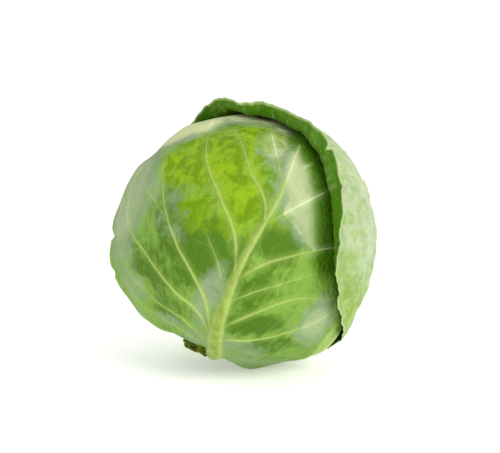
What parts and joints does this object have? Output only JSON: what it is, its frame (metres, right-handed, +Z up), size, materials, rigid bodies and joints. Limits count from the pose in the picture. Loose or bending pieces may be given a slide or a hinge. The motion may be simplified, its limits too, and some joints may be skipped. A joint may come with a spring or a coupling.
{
  "type": "cabbage head",
  "caption": "Round green cabbage head with a packed heart, overlapping ribbed wrapper leaves, one with a rolled margin, and a cut stem.",
  "frame": {"origin": "centre of the flat spot the head rests on, on the floor", "axes": "+Z up through the middle of the head; +X towards the side where the outermost leaf wraps it; -Y is the side that shows the front leaf's midrib; the cut stem points down, to -X and slightly to -Y"},
  "size_m": [0.1794, 0.1746, 0.1855],
  "materials": {
    "heart": "smooth pale leaf tissue",
    "stem": "dry cut stem",
    "inner_leaf": "green leaf, satin",
    "back_leaf": "green leaf with light wax bloom",
    "front_leaf": "yellow-green leaf with pale veins and wax bloom, satin",
    "outer_leaf": "pale waxy outer face, dark green inner face"
  },
  "bodies": {
    "root": {"heart": "heart", "stem": "stem", "lower_leaf": "inner_leaf", "left_leaf": "back_leaf", "front_leaf": "front_leaf", "hood_leaf": "outer_leaf"}
  },
  "joints": []
}
